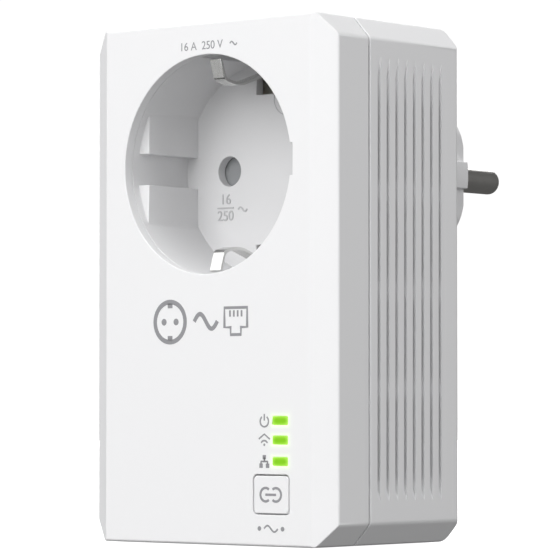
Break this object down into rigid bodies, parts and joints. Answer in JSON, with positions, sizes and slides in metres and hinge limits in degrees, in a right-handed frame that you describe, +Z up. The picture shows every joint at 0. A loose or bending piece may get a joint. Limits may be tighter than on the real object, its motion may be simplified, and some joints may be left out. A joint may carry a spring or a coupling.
{
  "type": "powerline adapter",
  "caption": "Upright plug-in box with a round recessed mains socket in front, a mains plug behind, a pair button, status windows and a network jack in its base.",
  "frame": {"origin": "centre of the plug hub's end face, on the common axis of plug and socket", "axes": "+Y along the plug pins, away from the front face; +X to the right seen from the front; +Z up"},
  "size_m": [0.058, 0.0745, 0.095],
  "materials": {
    "case_plastic": "fine satin moulded white plastic",
    "cup_plastic": "satin white moulded plastic",
    "button_plastic": "satin white cap",
    "shutter_plastic": "grey moulded plastic",
    "carrier_plastic": "heat-resistant cream plastic",
    "clip_steel": "nickel-plated spring strip",
    "pin_nickel": "nickel-plated brass",
    "contact_brass": "bright brass strip",
    "spring_steel": "spring wire",
    "screw_steel": "zinc-plated steel",
    "lead_brown": "brown PVC insulation",
    "lead_blue": "blue PVC insulation",
    "board_green": "solder mask over glass laminate",
    "ferrite": "dark ground ferrite",
    "winding_tape": "yellow polyester tape",
    "can_sleeve": "dark shrink sleeve with bare top",
    "capacitor_box": "yellow resin case",
    "varistor_blue": "blue epoxy coat",
    "fuse_brown": "brown moulded cap",
    "choke_winding": "enamelled copper wire",
    "chip_black": "black moulded package",
    "thermal_grey": "soft grey pad",
    "sink_aluminium": "extruded aluminium",
    "crystal_can": "drawn metal can",
    "led_lens": "green lamp body",
    "light_pipe_clear": "green-lit clear acrylic",
    "switch_black": "black moulded plastic",
    "plunger_white": "white moulded plastic",
    "shield_metal": "tinned steel shell",
    "jack_black": "black moulded plastic",
    "jack_gold": "gold-plated spring wire",
    "label_paper": "blank silver-grey film label"
  },
  "bodies": {
    "adapter": {"front_cover": "case_plastic", "rear_cover": "case_plastic", "case_screws": "screw_steel", "rear_label": "label_paper", "plug_hub": "case_plastic", "socket_cup": "cup_plastic", "socket_screws": "screw_steel", "shutter_spring": "spring_steel", "contact_carrier": "carrier_plastic", "carrier_screws": "screw_steel", "live_contact": "contact_brass", "neutral_contact": "contact_brass", "live_pin": "pin_nickel", "neutral_pin": "pin_nickel", "pin_retainer": "carrier_plastic", "earth_plate_top": "clip_steel", "earth_plate_bottom": "clip_steel", "earth_strap": "contact_brass", "earth_sleeve": "contact_brass", "live_lead": "lead_brown", "neutral_lead": "lead_blue", "main_board": "board_green", "board_screws": "screw_steel", "power_transformer_core": "ferrite", "power_transformer_winding": "winding_tape", "bulk_capacitor": "can_sleeve", "output_capacitor": "can_sleeve", "mains_filter_capacitor": "capacitor_box", "surge_varistor": "varistor_blue", "fuse": "fuse_brown", "line_choke": "choke_winding", "coupling_transformer": "ferrite", "powerline_chip": "chip_black", "thermal_pad": "thermal_grey", "heat_sink": "sink_aluminium", "ethernet_transformer": "chip_black", "memory_chip": "chip_black", "clock_crystal": "crystal_can", "status_leds": "led_lens", "light_pipe": "light_pipe_clear", "tact_switch": "switch_black", "ethernet_jack_shield": "shield_metal", "ethernet_jack_housing": "jack_black", "ethernet_jack_contacts": "jack_gold"},
    "pair_button": {"pair_button": "button_plastic"},
    "switch_plunger": {"switch_plunger": "plunger_white"},
    "shutter": {"shutter": "shutter_plastic"},
    "earth_clip_top": {"earth_clip_top": "clip_steel"},
    "earth_clip_bottom": {"earth_clip_bottom": "clip_steel"}
  },
  "joints": [
    {"name": "pair_button_press", "type": "slide", "parent": "adapter", "child": "pair_button", "axis": [0, 1, 0], "range_m": [0, 0.0005], "stiffness_N_per_m": 3000, "springref_m": -0.0002},
    {"name": "switch_plunger_press", "type": "slide", "parent": "adapter", "child": "switch_plunger", "axis": [0, 1, 0], "range_m": [0, 0.0005]},
    {"name": "shutter_turn", "type": "hinge", "parent": "adapter", "child": "shutter", "pos_m": [0, -0.0351, 0], "axis": [0, 1, 0], "range_deg": [0, 40], "stiffness_Nm_per_rad": 0.01, "springref_deg": -11.46, "deforming": ["shutter_spring"]},
    {"name": "earth_clip_top_flex", "type": "hinge", "parent": "adapter", "child": "earth_clip_top", "pos_m": [0, -0.0317, 0.0179], "axis": [-1, 0, 0], "range_deg": [0, 6], "stiffness_Nm_per_rad": 1.5, "springref_deg": -1.72},
    {"name": "earth_clip_bottom_flex", "type": "hinge", "parent": "adapter", "child": "earth_clip_bottom", "pos_m": [0, -0.0317, -0.0179], "axis": [1, 0, 0], "range_deg": [0, 6], "stiffness_Nm_per_rad": 1.5, "springref_deg": -1.72}
  ],
  "couplings": [
    {"joint": "switch_plunger_press", "follows": "pair_button_press", "ratio": 1}
  ]
}
